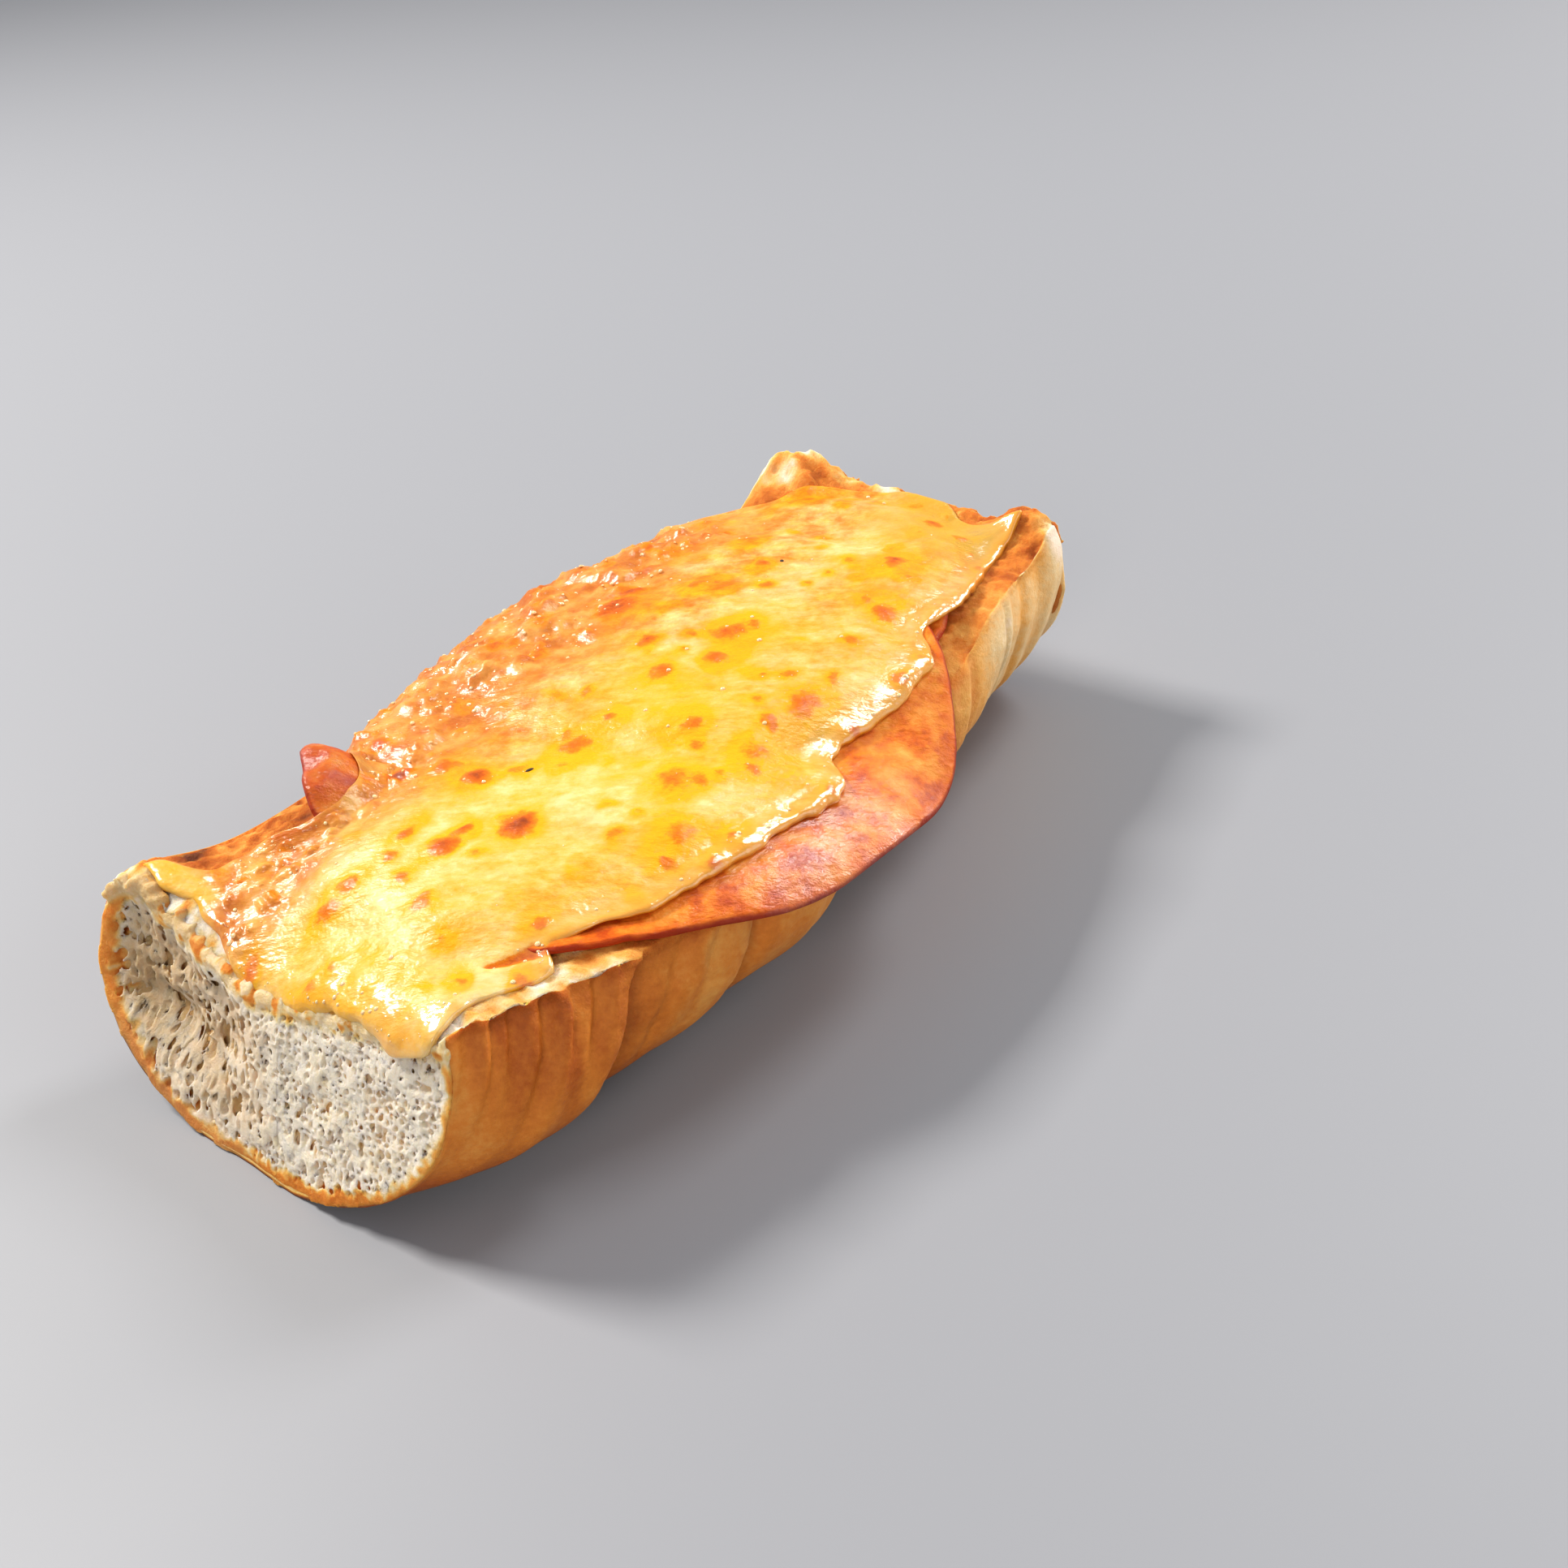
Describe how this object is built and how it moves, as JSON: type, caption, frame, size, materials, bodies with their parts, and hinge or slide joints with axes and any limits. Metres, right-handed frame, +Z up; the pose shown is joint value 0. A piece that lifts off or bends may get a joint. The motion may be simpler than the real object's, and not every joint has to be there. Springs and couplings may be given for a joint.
{
  "type": "pepperoni cheese toastie",
  "caption": "Open toastie: half of a long bread roll with draped pepperoni slices under a melted, browned cheese blanket.",
  "frame": {"origin": "middle of the bounding box, at the surface the roll lies on", "axes": "+X along the roll, from the open crumb end to the far end; -Y towards the side with the hanging pepperoni flap; +Z up, from the crust to the cheese"},
  "size_m": [0.1633, 0.0936, 0.0404],
  "materials": {
    "bread": "matte, browned crust over open crumb",
    "pepperoni": "glossy, oily",
    "cheese": "glossy, browned in spots"
  },
  "bodies": {
    "root": {"bread": "bread", "pepperoni_back": "pepperoni", "pepperoni_front": "pepperoni", "cheese": "cheese"}
  },
  "joints": []
}
